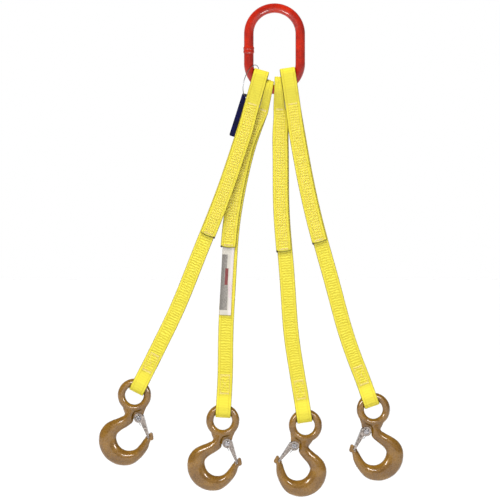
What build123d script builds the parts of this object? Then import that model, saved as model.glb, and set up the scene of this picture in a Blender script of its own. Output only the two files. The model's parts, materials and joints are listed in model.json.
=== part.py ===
from build123d import *

import math
import os
from dataclasses import dataclass

# Four-leg web bridle sling: an oblong master link, four sewn web legs and four latched sling hooks.
# Millimetres. +Z is up and the sling hangs spread out in the XZ plane, with its front towards -Y.
# The origin is the master link's inside crown, the seat of the crane hook that carries the sling.

# Master link: a round bar bent into an oblong and welded in its left limb
LINK_BAR = 15.4
LINK_INSIDE_WIDTH = 70.4
LINK_INSIDE_LENGTH = 119.4
LINK_BEND = (LINK_INSIDE_WIDTH + LINK_BAR) / 2
LINK_TOP_BEND_Z = -LINK_INSIDE_WIDTH / 2
LINK_LOW_BEND_Z = LINK_INSIDE_WIDTH / 2 - LINK_INSIDE_LENGTH
WELD_Z = -62.0
WELD_LENGTH = 11.0
WELD_STEP = 0.9

# Webbing: one ply of 1 inch polyester, doubled where it is sewn
WEB_WIDTH = 25.4
PLY = 2.8
LAYER_SHIFT = 3.4  # legs 1 and 4 lie this far in front of the link's plane, legs 2 and 3 behind it
EYE_ROOM = 0.5  # between the bar and the web round it
EYE_GAP = 0.6  # between neighbouring eyes on the bar
KNOT_RADIUS = 0.3  # of an eye's inside, where its two plies meet
SIDE_REACH = 90.0  # how far an eye's side lines run, past both of its ends
STEP_BACK = 2.5  # the cut front ply stops this far above the bend at the end of the splice
TAIL_LENGTH = 38.0  # the tail sewn behind the web above the hook's eye
LABEL_WIDTH = 19.5
LABEL_LENGTH = 114.0
LABEL_THICK = 0.5

# Gaps that let the strap's stretches turn on each other
STACK_GAP = 1.0
PLY_GAP = 0.6
TWIST_GAP = 0.4
ROLL_TRIM = 0.03  # a strip's rounded end is this much slimmer than the strip

# Sling hook, with its ring's centre at its own origin and opening towards +X
RING_BEND = 21.5
RING_BAR = 11.9
BOWL_CENTRE = (0.0, -71.5)
BOWL_RADIUS = 21.3
BACK_CENTRE = (-7.7, -76.0)
BACK_RADIUS = 42.0
LUG_PLATE = ((1.0, -24.0), (18.6, -24.6), (17.6, -28.8), (11.0, -31.0), (2.0, -40.0))
LUG_HALF = 3.2
LUG_RADIUS = 6.2
LIP = ((36.8, -67.0, 3.6), (35.3, -61.2, 3.2))  # x, z and radius of its two ends
LIP_HALF = 5.0
TOE = ((28.6, -68.0, 1.4), (28.2, -65.9, 1.3))
TOE_HALF = 4.4

# Latch, its bolt and its spring
PIVOT = (11.8, -36.0)
LATCH_END = (32.0, -65.9)
LATCH_HALF = 8.0
LATCH_SHEET = 1.5
LATCH_CHEEK = 7.8
LATCH_ROOT = (2.0, 4.0, 4.6)  # x, y and radius of the arm's wide end, in the latch's own plane
LATCH_TIP = 1.5
SPINE_START = 0.4
SPINE_END = 31.5
BOLT_RADIUS = 2.5
BOLT_ROOM = 0.08
BOLT_HEAD_RADIUS = 4.6
BOLT_HEAD = 2.6
BOLT_LENGTH = 22.0
BOLT_PLAY = 0.1
NUT_HEIGHT = 4.0
SPRING_WIRE = 1.0
SPRING_TURNS = 2
SPRING_PITCH = 1.06
SPRING_ROOM = 0.7
SPRING_LEG = 13.0
SPRING_LEAN = 4.0

# The web eye in the hook's ring, measured up from the ring's centre
LOWER_FOLD = 4.8
LOWER_THROAT = 40.0

# Capacity tag on its wire ring
WIRE = 1.4
WIRE_RING_TOP = (-32.5, -2.0, -87.0)
WIRE_RING_FOOT = (-45.2, 10.2, -138.8)
WIRE_RING_TURN = 66.0  # degrees from the link's plane to the ring's
TAG_WIDTH = 19.0
TAG_LENGTH = 74.0
TAG_THICK = 1.0
TAG_CORNER = 2.5
TAG_MARGIN = 5.0  # from the tag's top edge to its hole
TAG_HOLE = 2.6
TAG_LEAN = -17.6


@dataclass
class Leg:
    throat: tuple  # x, z where the upper eye closes
    lean: float  # degrees from vertical at the throat, positive towards +X
    eye: float  # length of the upper eye, from throat to fold
    ring: tuple  # x, z of the hook ring's centre
    end_lean: float  # degrees from vertical at the hook
    cut_z: float  # where the splice's front ply is cut off
    twist_z: float  # where the single ply twists
    side: int  # -1 in front of the link's plane, 1 behind it
    hand: int  # 1 if the hook opens towards +X
    hook_turn: float  # degrees that the hook hangs off plumb, about +Y


LEGS = {
    1: Leg((-36.4, -149.7), -16.0, 57.0, (-232.5, -634.9), -26.8, -367.5, -523.0, -1, 1, 7.0),
    2: Leg((-21.0, -158.0), -21.0, 48.5, (-86.0, -677.6), -3.3, -387.9, -552.0, 1, 1, 7.0),
    3: Leg((12.0, -158.0), -3.5, 52.0, (51.4, -685.9), 8.4, -393.9, -560.0, 1, -1, 11.0),
    4: Leg((29.6, -149.1), 8.6, 58.5, (164.0, -658.5), 19.3, -378.8, -540.0, -1, -1, 0.0),
}
OUTER_LEGS = (1, 4)

# The free sides of the two inner eyes, as two x, z points each
LEG_2_FREE_SIDE = ((4.6, -88.0), (-12.6, -176.0))
LEG_3_FREE_SIDE = ((2.4, -88.0), (-2.6, -176.0))


def down(lean):
    angle = math.radians(lean)
    return Vector(math.sin(angle), 0, -math.cos(angle))


def across(direction):
    """The web's width direction, towards +X, for a leg that runs down along direction."""
    return Vector(-direction.Z, 0, direction.X)


def flat_point(pair):
    return Vector(pair[0], 0, pair[1])


class Path:
    """A leg's centreline in the XZ plane, from its upper throat, t = 0, to its lower one, t = 1."""

    def __init__(self, leg):
        self.start = flat_point(leg.throat)
        self.end = flat_point(leg.ring) - down(leg.end_lean) * LOWER_THROAT
        reach = (self.end - self.start).length / 3
        self.start_pull = self.start + down(leg.lean) * reach
        self.end_pull = self.end - down(leg.end_lean) * reach

    def point(self, t):
        s = 1 - t
        near = self.start * s**3 + self.start_pull * (3 * s**2 * t)
        return near + self.end_pull * (3 * s * t**2) + self.end * t**3

    def slope(self, t):
        s = 1 - t
        near = (self.start_pull - self.start) * (3 * s**2)
        middle = (self.end_pull - self.start_pull) * (6 * s * t)
        return near + middle + (self.end - self.end_pull) * (3 * t**2)

    def direction(self, t):
        return self.slope(t).normalized()

    def moved(self, t, distance):
        return t + distance / self.slope(t).length

    def at_height(self, z):
        low, high = 0.0, 1.0
        for _ in range(40):
            middle = (low + high) / 2
            if self.point(middle).Z > z:
                low = middle
            else:
                high = middle
        return low


def stack_y(leg):
    """Middle of the two sewn plies above the cut."""
    return leg.side * LAYER_SHIFT


def ply_y(leg):
    """Middle of the single ply, which is the splice's back one."""
    return stack_y(leg) + PLY / 2


def lower_y(leg):
    """Middle of the web eye and hook at the leg's lower end."""
    return ply_y(leg) + PLY / 2


def edge_between(a, b, c):
    bow = ((a + c) / 2 - b).length
    return Line(a, c) if bow < 0.01 else ThreePointArc(a, b, c)


def band(path, t0, t1, y, half_width, thickness):
    """A strip of web along the leg between t0 and t1, its middle surface at y."""
    stations = [t0, (t0 + t1) / 2, t1]
    left = [path.point(t) - across(path.direction(t)) * half_width for t in stations]
    right = [path.point(t) + across(path.direction(t)) * half_width for t in stations]
    outline = [
        edge_between(*left),
        Line(left[2], right[2]),
        edge_between(*reversed(right)),
        Line(right[0], left[0]),
    ]
    return Pos(0, y, 0) * extrude(make_face(outline), thickness / 2, both=True)


def rolled_end(path, t, y, thickness):
    """The half-round end of a strip, centred at t."""
    centre = path.point(t) + Vector(0, y, 0)
    seat = Plane(origin=centre, z_dir=across(path.direction(t)))
    return seat * Cylinder(thickness / 2 - ROLL_TRIM, WEB_WIDTH - 2 * ROLL_TRIM)


def hull(*circles):
    edges = [e for x, y, radius in circles for e in (Pos(x, y) * Circle(radius)).edges()]
    return make_hull(edges)


def bar_height(leg, offset):
    """How far above the throat the link's bar crosses a line this far across the eye."""
    direction = down(leg.lean)
    start = flat_point(leg.throat) + across(direction) * offset
    start -= Vector(0, 0, LINK_LOW_BEND_Z)
    along = start.dot(direction)
    return along - math.sqrt(along**2 - start.dot(start) + LINK_BEND**2)


def loop_of_web(seat, inside, fold, bar, throat, throat_y):
    """A web eye in the plane seat: x is depth, y runs up the leg. fold, bar and throat are heights."""
    outside = inside + PLY
    top = fold - outside if fold > bar else fold + outside
    foot = PLY + STACK_GAP / 2
    knot = throat + foot if fold > bar else throat - foot
    outer = hull((0, top, outside), (0, bar, outside), (throat_y, knot, PLY))
    inner = hull((0, top, inside), (0, bar, inside), (throat_y, knot, KNOT_RADIUS))
    return extrude(seat * (outer - inner), WEB_WIDTH / 2, both=True)


def upper_eye(leg):
    direction = down(leg.lean)
    seat = Plane(flat_point(leg.throat), x_dir=(0, 1, 0), z_dir=across(direction))
    bar = min(bar_height(leg, -WEB_WIDTH / 2), bar_height(leg, WEB_WIDTH / 2))
    inside = LINK_BAR / 2 + EYE_ROOM
    return loop_of_web(seat, inside, leg.eye, bar, 0, stack_y(leg))


def eye_side(leg, sign, gap):
    """Two far-off points on the line just outside an eye's side edge."""
    direction = down(leg.lean)
    foot = flat_point(leg.throat) + across(direction) * sign * (WEB_WIDTH / 2 + gap)
    return foot - direction * SIDE_REACH, foot + direction * SIDE_REACH


def bunched_eye(leg, neighbour, sign, free_side):
    """An inner leg's upper eye, crowded on the bar between its outer neighbour and free_side."""
    crowded = eye_side(neighbour, sign, EYE_GAP)
    free = [flat_point(p) for p in free_side]
    outline = Polyline(crowded[0], crowded[1], free[1], free[0], crowded[0])
    room = extrude(make_face(outline), 2 * LINK_BAR, both=True)
    return upper_eye(leg) & room


def ply_room(path, t, y, length):
    """A block that cuts one outer ply away for a length down the leg from t, or up if negative."""
    direction = path.direction(t)
    seat = Plane(path.point(t) + Vector(0, y, 0), x_dir=across(direction), z_dir=direction)
    return seat * (Pos(0, 0, length / 2) * Box(2 * WEB_WIDTH, 2 * PLY, abs(length)))


def splice(leg, path):
    """The stiff stretch of two sewn plies. The front ply is cut off above the bend at its end."""
    top = path.moved(0, PLY + STACK_GAP / 2)
    cut = path.at_height(leg.cut_z)
    front_end = path.moved(cut, -STEP_BACK)
    back_end = path.moved(cut, -(PLY + PLY_GAP) / 2)
    strip = band(path, top, back_end, stack_y(leg), WEB_WIDTH / 2, 2 * PLY)
    strip -= ply_room(path, front_end, stack_y(leg) - PLY, 3 * PLY)
    strip += rolled_end(path, top, stack_y(leg), 2 * PLY)
    return strip + rolled_end(path, back_end, ply_y(leg), PLY)


def single_web(leg, path):
    """The single ply between the splice and the place where the leg twists."""
    top = path.moved(path.at_height(leg.cut_z), (PLY + PLY_GAP) / 2)
    end = path.moved(path.at_height(leg.twist_z), -TWIST_GAP / 2)
    strip = band(path, top, end, ply_y(leg), WEB_WIDTH / 2, PLY)
    return strip + rolled_end(path, top, ply_y(leg), PLY)


def sewn_tail(leg, path):
    """The leg's last stretch, doubled by the tail that comes back up from the lower eye."""
    start = path.moved(path.at_height(leg.twist_z), TWIST_GAP / 2)
    end = path.moved(1, -(PLY + STACK_GAP / 2))
    tail_start = path.moved(1, -TAIL_LENGTH)
    strip = band(path, start, end, lower_y(leg), WEB_WIDTH / 2, 2 * PLY)
    strip -= ply_room(path, tail_start, lower_y(leg) + PLY, -4 * TAIL_LENGTH)
    return strip + rolled_end(path, end, lower_y(leg), 2 * PLY)


def lower_eye(leg):
    direction = down(leg.end_lean)
    origin = flat_point(leg.ring) + Vector(0, lower_y(leg), 0)
    seat = Plane(origin, x_dir=(0, 1, 0), z_dir=across(direction))
    inside = RING_BAR / 2 + EYE_ROOM
    return loop_of_web(seat, inside, LOWER_FOLD, RING_BEND, LOWER_THROAT, 0)


def label(leg, path):
    """The sewn label on the front face of the single ply."""
    start = path.moved(path.at_height(leg.cut_z), PLY)
    end = path.moved(start, LABEL_LENGTH)
    y = ply_y(leg) - (PLY + LABEL_THICK) / 2
    return band(path, start, end, y, LABEL_WIDTH / 2, LABEL_THICK)


def upright_ring(bend, bar):
    """A round bar bent into a ring in the XZ plane."""
    return Rot(90, 0, 0) * Torus(bend, bar / 2)


def master_link():
    ring = upright_ring(LINK_BEND, LINK_BAR)
    slab = 2 * (LINK_BEND + LINK_BAR)
    keep_high = Pos(0, 0, slab / 2) * Box(slab, slab, slab)
    keep_low = Pos(0, 0, -slab / 2) * Box(slab, slab, slab)
    limb_length = LINK_TOP_BEND_Z - LINK_LOW_BEND_Z
    middle = (LINK_TOP_BEND_Z + LINK_LOW_BEND_Z) / 2
    link = Pos(0, 0, LINK_TOP_BEND_Z) * (ring & keep_high)
    link += Pos(0, 0, LINK_LOW_BEND_Z) * (ring & keep_low)
    for side in (-1, 1):
        link += Pos(side * LINK_BEND, 0, middle) * Cylinder(LINK_BAR / 2, limb_length)
    weld = Cylinder(LINK_BAR / 2 + WELD_STEP, WELD_LENGTH)
    weld = fillet(weld.edges().filter_by(GeomType.CIRCLE), WELD_STEP * 1.5)
    return link + Pos(-LINK_BEND, 0, WELD_Z) * weld


def on_circle(centre, radius, degrees):
    angle = math.radians(degrees)
    return centre[0] + radius * math.cos(angle), centre[1] + radius * math.sin(angle)


def hook_sections():
    """Inner point, outer point and half depth of the hook's oval sections, from ring to nose."""
    neck = [
        ((9.0, -20.5), (-11.0, -20.5), 5.6),
        ((2.9, -32.0), (-12.3, -33.0), 6.4),
        ((2.6, -43.5), (-20.0, -39.8), 7.0),
        ((-5.4, -52.6), (-31.5, -46.0), 8.0),
        ((-14.6, -59.8), (-42.3, -54.6), 8.6),
    ]
    bowl = []
    for degrees, half_depth in ((170, 9.0), (200, 9.2), (230, 9.2), (260, 9.0), (290, 8.5)):
        inner = on_circle(BOWL_CENTRE, BOWL_RADIUS, degrees)
        bowl.append((inner, on_circle(BACK_CENTRE, BACK_RADIUS, degrees), half_depth))
    nose = [
        ((21.2, -77.2), (33.9, -83.4), 6.8),
        ((24.6, -71.0), (36.6, -75.0), 6.2),
        ((27.2, -66.8), (38.4, -69.0), 5.6),
    ]
    return neck + bowl + nose


def hook_body():
    """The forged shank, bowl and nose as one loft through oval sections."""
    faces = []
    for inner, outer, half_depth in hook_sections():
        width = flat_point(inner) - flat_point(outer)
        middle = (flat_point(inner) + flat_point(outer)) / 2
        seat = Plane(middle, x_dir=width, z_dir=Vector(0, 1, 0).cross(width))
        faces.append(seat * Ellipse(width.length / 2, half_depth))
    return loft(faces)


def upright(sketch, half_depth):
    """A sketch drawn with x to the right and y up, stood in the XZ plane and made thick."""
    return extrude(Plane.XZ * sketch, half_depth, both=True)


def hook():
    """Eye sling hook: ring, shank, bowl, latch lug and a nose with a raised lip."""
    lug = Polygon(*LUG_PLATE, align=None) + Pos(*PIVOT) * Circle(LUG_RADIUS)
    body = upright_ring(RING_BEND, RING_BAR) + hook_body()
    body += upright(lug, LUG_HALF)
    body += upright(hull(*LIP), LIP_HALF)
    body += upright(hull(*TOE), TOE_HALF)
    hole = Pos(*PIVOT) * Circle(BOLT_RADIUS + BOLT_ROOM)
    return body - upright(hole, 2 * RING_BAR)


def latch_seat():
    """The latch's own plane: x runs from its pivot to its tip, y points out of the hook."""
    along = flat_point(LATCH_END) - flat_point(PIVOT)
    return Plane(flat_point(PIVOT), x_dir=along, z_dir=(0, -1, 0))


def latch_length():
    return (flat_point(LATCH_END) - flat_point(PIVOT)).length


def latch():
    """A sheet-steel channel: two cheeks round the lug and the nose, joined by a spine outside."""
    reach = latch_length()
    arm = hull(LATCH_ROOT, (reach, 0, LATCH_TIP))
    top = LATCH_ROOT[1] + LATCH_ROOT[2] - LATCH_SHEET
    drop = (top - LATCH_TIP + LATCH_SHEET) * SPINE_END / reach
    low, high = -3 * LATCH_CHEEK, 3 * LATCH_CHEEK
    room = Polygon((low, low), (low, high), (SPINE_START, high), (SPINE_START, top),
                   (SPINE_END, top - drop), (SPINE_END, high), (reach + high, high),
                   (reach + high, low), align=None)
    hole = Circle(BOLT_RADIUS + BOLT_ROOM)
    seat = latch_seat()
    solid = extrude(seat * (arm + Circle(LATCH_CHEEK)), LATCH_HALF, both=True)
    solid -= extrude(seat * room, LATCH_HALF - LATCH_SHEET, both=True)
    return solid - extrude(seat * hole, 2 * LATCH_HALF, both=True)


def on_pivot(part):
    """A turned piece drawn along Z with its front upwards, laid on the latch's pivot."""
    return Pos(PIVOT[0], 0, PIVOT[1]) * (Rot(90, 0, 0) * part)


def latch_bolt():
    """Round-headed pivot bolt, its head at the front and its thread end in the nut."""
    front = LATCH_HALF + BOLT_PLAY
    shank = Pos(0, 0, front - BOLT_LENGTH / 2) * Cylinder(BOLT_RADIUS, BOLT_LENGTH)
    head = Pos(0, 0, front + BOLT_HEAD / 2) * Cylinder(BOLT_HEAD_RADIUS, BOLT_HEAD)
    head = fillet(head.edges().group_by(Axis.Z)[-1], 0.6 * BOLT_HEAD)
    return on_pivot(shank + head)


def latch_nut():
    sketch = RegularPolygon(BOLT_HEAD_RADIUS, 6) - Circle(BOLT_RADIUS + BOLT_ROOM / 4)
    nut = extrude(sketch, NUT_HEIGHT)
    return on_pivot(Pos(0, 0, -(LATCH_HALF + BOLT_PLAY + NUT_HEIGHT)) * nut)


def latch_spring():
    """Torsion spring on the bolt, between lug and front cheek, with a leg along the latch's spine."""
    radius = BOLT_RADIUS + SPRING_ROOM + SPRING_WIRE / 2
    pitch = SPRING_WIRE * SPRING_PITCH
    coil = Helix(pitch, pitch * SPRING_TURNS, radius)
    start = (LUG_HALF + LATCH_HALF - LATCH_SHEET - pitch * SPRING_TURNS) / 2
    section = Plane(coil @ 0, z_dir=coil % 0) * Circle(SPRING_WIRE / 2)
    spring = sweep(section, path=coil, is_frenet=True)
    away = coil % 1
    leg_seat = Plane(coil @ 1 - away * SPRING_WIRE / 2, z_dir=(away.X, away.Y, 0))
    leg = extrude(leg_seat * Circle(SPRING_WIRE / 2), SPRING_LEG)
    turn = SPRING_LEAN - math.degrees(math.atan2(away.Y, away.X))
    return latch_seat().location * Rot(0, 0, turn) * Pos(0, 0, start) * (spring + leg)


def hook_parts():
    return {
        "": hook(),
        "_latch": latch(),
        "_latch_bolt": latch_bolt(),
        "_latch_nut": latch_nut(),
        "_latch_spring": latch_spring(),
    }


def hook_place(leg):
    x, z = leg.ring
    return Pos(x, lower_y(leg), z) * Rot(0, leg.hook_turn, 0)


def placed(leg, part):
    turned = part if leg.hand > 0 else mirror(part, Plane.YZ)
    return hook_place(leg) * turned


def wire_ring_frame():
    """The ring's centre, the way down across it and its depth direction."""
    top = Vector(*WIRE_RING_TOP)
    foot = Vector(*WIRE_RING_FOOT)
    fall = (foot - top).normalized()
    turn = math.radians(WIRE_RING_TURN)
    heading = Vector(math.cos(turn), math.sin(turn), 0)
    depth = (heading - fall * heading.dot(fall)).normalized()
    return (top + foot) / 2, fall, depth


def wire_ring():
    centre, fall, depth = wire_ring_frame()
    radius = (Vector(*WIRE_RING_FOOT) - centre).length
    return Plane(centre, x_dir=fall, z_dir=fall.cross(depth)) * Torus(radius, WIRE / 2)


def tag():
    """Flat plate with rounded corners, hung on the wire ring's foot by a hole near its top edge."""
    plate = RectangleRounded(TAG_WIDTH, TAG_LENGTH, TAG_CORNER)
    plate = Pos(0, TAG_MARGIN - TAG_LENGTH / 2) * plate - Circle(TAG_HOLE)
    hole = Vector(*WIRE_RING_FOOT) + down(TAG_LEAN) * (TAG_HOLE - WIRE)
    seat = Plane(hole, x_dir=across(down(TAG_LEAN)), z_dir=(0, -1, 0))
    return extrude(seat * plate, TAG_THICK / 2, both=True)


def leg_parts(number, leg):
    path = Path(leg)
    name = f"leg_{number}"
    parts = {
        f"{name}_splice": splice(leg, path),
        f"{name}_web": single_web(leg, path),
        f"{name}_tail": sewn_tail(leg, path),
        f"{name}_lower_eye": lower_eye(leg),
    }
    if number in OUTER_LEGS:
        parts[f"{name}_upper_eye"] = upper_eye(leg)
    return parts


def all_parts():
    parts = {"master_link": master_link(), "wire_ring": wire_ring(), "tag": tag()}
    for number, leg in LEGS.items():
        parts.update(leg_parts(number, leg))
    parts["leg_2_upper_eye"] = bunched_eye(LEGS[2], LEGS[1], 1, LEG_2_FREE_SIDE)
    parts["leg_3_upper_eye"] = bunched_eye(LEGS[3], LEGS[4], -1, LEG_3_FREE_SIDE)
    parts["leg_2_label"] = label(LEGS[2], Path(LEGS[2]))
    for suffix, part in hook_parts().items():
        for number, leg in LEGS.items():
            parts[f"hook_{number}{suffix}"] = placed(leg, part)
    return parts


def main():
    os.makedirs("parts", exist_ok=True)
    for name, part in all_parts().items():
        export_step(part, f"parts/{name}.step")


if __name__ == "__main__":
    main()
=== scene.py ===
import json
import math

import bmesh
import bpy
import numpy as np
from mathutils import Matrix, Vector


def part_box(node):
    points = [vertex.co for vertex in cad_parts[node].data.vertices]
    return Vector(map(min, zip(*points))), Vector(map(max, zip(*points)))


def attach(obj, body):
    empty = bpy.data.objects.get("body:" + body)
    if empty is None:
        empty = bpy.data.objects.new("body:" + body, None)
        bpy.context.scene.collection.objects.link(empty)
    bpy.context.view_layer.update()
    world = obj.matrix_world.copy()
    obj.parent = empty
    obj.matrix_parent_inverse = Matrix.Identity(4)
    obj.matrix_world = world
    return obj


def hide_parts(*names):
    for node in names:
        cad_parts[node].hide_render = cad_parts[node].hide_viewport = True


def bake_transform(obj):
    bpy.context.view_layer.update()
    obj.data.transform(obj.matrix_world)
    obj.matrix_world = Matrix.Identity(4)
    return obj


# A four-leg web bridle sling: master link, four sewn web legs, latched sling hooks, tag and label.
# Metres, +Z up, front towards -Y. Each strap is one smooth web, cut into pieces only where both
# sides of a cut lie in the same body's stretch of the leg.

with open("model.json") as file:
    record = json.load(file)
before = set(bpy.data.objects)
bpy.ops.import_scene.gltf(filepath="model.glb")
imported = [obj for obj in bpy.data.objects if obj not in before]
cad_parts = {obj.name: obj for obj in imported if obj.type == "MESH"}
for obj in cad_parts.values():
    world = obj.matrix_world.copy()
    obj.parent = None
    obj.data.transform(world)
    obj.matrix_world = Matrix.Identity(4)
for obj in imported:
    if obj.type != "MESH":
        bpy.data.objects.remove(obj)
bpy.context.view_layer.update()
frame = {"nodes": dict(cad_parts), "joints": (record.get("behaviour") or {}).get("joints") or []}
MM = 0.001
LEGS = (1, 2, 3, 4)

# Master link
BAR = 7.7 * MM
LINK_BEND = 42.9 * MM
LINK_TOP_Z = -35.2 * MM
LINK_LOW_Z = -84.2 * MM
WELD_Z = -62.0 * MM

# Web
HALF_WIDTH = 12.7 * MM
PLY = 2.8 * MM
EYE_ROOM = 0.5 * MM
FRONT_END = 1.5 * MM  # how far past the splice's end its front ply reaches
TAIL_LENGTH = 38.0 * MM
UPPER_EYE = {1: 57.0 * MM, 2: 48.5 * MM, 3: 52.0 * MM, 4: 58.5 * MM}
FRONT_SHIFT = {1: 1.6 * MM, 2: -3.4 * MM, 3: -1.8 * MM, 4: -1.8 * MM}
MELTED_CORNER = {1: 1, 2: -1, 3: -1, 4: -1}  # the side on which the front ply's end is melted to a bead

# How far each leg hangs off its CAD line, in millimetres towards +X, at even steps from its
# upper throat to its lower one
HANG = {1: (0.0, 0.0, -1.0, -0.8, 1.2, 0.0), 2: (0.0, -2.6, -3.5, -2.5, -1.6, 0.0),
        3: (0.0, 1.8, 1.4, 1.4, -2.4, 0.0), 4: (0.0, 0.0, -1.4, 0.3, -2.8, 0.0)}
ROW_STEP = 1.1 * MM
SPARE = 100.0 * MM  # how far a leg's line runs straight on past both of its throats

# Hook, in its own plane: x towards its opening, z up, from the centre of its ring
RING_BEND = 21.5 * MM
RING_BAR = 5.95 * MM
LOWER_FOLD = 4.8 * MM
LOWER_THROAT = 40.0 * MM
PIVOT = (11.8, -36.0)


# ---------------------------------------------------------------- helpers

def joint_at(name):
    joint = next(j for j in frame["joints"] if j["name"] == name)
    return Vector(joint["pos_m"]), Vector(joint["axis"])


def new_object(name, mesh, *materials):
    obj = bpy.data.objects.new(name, mesh)
    bpy.context.scene.collection.objects.link(obj)
    for material in materials:
        mesh.materials.append(material)
    return obj


def mesh_from(name, points, faces, smooth=True):
    mesh = bpy.data.meshes.new(name)
    mesh.from_pydata([tuple(p) for p in points], [], [tuple(f) for f in faces])
    mesh.validate()
    mesh.update()
    if smooth:
        mesh.shade_smooth()
    return mesh


def grid_faces(rows, columns, closed_rows=False, closed_columns=True, first=0):
    """Quads between neighbouring points of a rows by columns grid."""
    row_count = rows if closed_rows else rows - 1
    column_count = columns if closed_columns else columns - 1
    r, c = np.meshgrid(np.arange(row_count), np.arange(column_count), indexing="ij")
    r2, c2 = (r + 1) % rows, (c + 1) % columns
    quads = np.stack([r * columns + c, r2 * columns + c, r2 * columns + c2, r * columns + c2], -1)
    return first + quads.reshape(-1, 4)


def joined(name, parts, smooth=True):
    """One mesh from several (points, faces) pairs."""
    points, faces, start = [], [], 0
    for part_points, part_faces in parts:
        points.extend(map(tuple, part_points))
        faces.extend(tuple(int(i) + start for i in f) for f in part_faces)
        start += len(part_points)
    return mesh_from(name, points, faces, smooth)


def smoothstep(x, low, high):
    t = np.clip((x - low) / (high - low), 0, 1)
    return t * t * (3 - 2 * t)


def through(values, marks, at, level_ends=False):
    """A smooth curve through the values (Catmull-Rom, by distance), read at each of at."""
    slopes = np.gradient(values, marks, axis=0)
    if level_ends:
        slopes[0] = slopes[-1] = 0
    i = np.clip(np.searchsorted(marks, at, side="right") - 1, 0, len(marks) - 2)
    gap = (marks[i + 1] - marks[i])[:, None]
    t = ((at - marks[i]) / gap[:, 0])[:, None]
    a, b = values[i], values[i + 1]
    ma, mb = slopes[i] * gap, slopes[i + 1] * gap
    return ((2 * t**3 - 3 * t**2 + 1) * a + (t**3 - 2 * t**2 + t) * ma
            + (3 * t**2 - 2 * t**3) * b + (t**3 - t**2) * mb)


def applied(obj):
    """The object's mesh with its modifiers in it."""
    graph = bpy.context.evaluated_depsgraph_get()
    mesh = bpy.data.meshes.new_from_object(obj.evaluated_get(graph))
    bpy.data.objects.remove(obj)
    return mesh


# ---------------------------------------------------------------- materials

class Shader:
    """A Principled material and short ways to add nodes to it."""

    def __init__(self, name, **values):
        self.material = bpy.data.materials.new(name)
        self.material.use_nodes = True
        self.tree = self.material.node_tree
        self.surface = self.tree.nodes["Principled BSDF"]
        self.set(**values)

    def set(self, **values):
        for key, value in values.items():
            self.surface.inputs[key.replace("_", " ")].default_value = value

    def add(self, kind, inputs=None, **settings):
        node = self.tree.nodes.new("ShaderNode" + kind)
        for key, value in settings.items():
            setattr(node, key, value)
        for key, value in (inputs or {}).items():
            self.feed(node.inputs[key], value)
        return node

    def feed(self, socket, value):
        if isinstance(value, bpy.types.NodeSocket):
            self.tree.links.new(value, socket)
        else:
            socket.default_value = value

    def math(self, operation, *values):
        node = self.add("Math", dict(enumerate(values)), operation=operation)
        return node.outputs[0]

    def noise(self, vector, scale, detail=3.0, roughness=0.5):
        inputs = {"Vector": vector, "Scale": scale, "Detail": detail, "Roughness": roughness}
        return self.add("TexNoise", inputs).outputs["Fac"]

    def ramp(self, value, low, high, out_low=0.0, out_high=1.0):
        inputs = {"Value": value, "From Min": low, "From Max": high, "To Min": out_low, "To Max": out_high}
        return self.add("MapRange", inputs, interpolation_type="SMOOTHSTEP").outputs["Result"]

    def mix(self, share, a, b):
        node = self.tree.nodes.new("ShaderNodeMix")
        node.data_type = "RGBA"
        colours = [s for s in node.inputs if s.type == "RGBA"]
        self.feed(node.inputs[0], share)
        self.feed(colours[0], a)
        self.feed(colours[1], b)
        return next(s for s in node.outputs if s.type == "RGBA")

    def place(self):
        return self.add("TexCoord").outputs["Object"]

    def bump(self, height, distance, strength=1.0):
        inputs = {"Height": height, "Distance": distance, "Strength": strength}
        self.feed(self.surface.inputs["Normal"], self.add("Bump", inputs).outputs["Normal"])


def rgb(red, green, blue):
    """A display colour from 0 to 255 as the linear colour that a shader takes."""
    def linear(value):
        value /= 255
        return value / 12.92 if value <= 0.04045 else ((value + 0.055) / 1.055) ** 2.4
    return linear(red), linear(green), linear(blue), 1.0


RIB_PITCH = 4.3  # millimetres along the web
PICK_PITCH = 1.45
WARP_PITCH = 1.27
CHEVRON = 6.35
BODY_HALF = 7.8  # the ribbed middle, between two smoother margins


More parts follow.
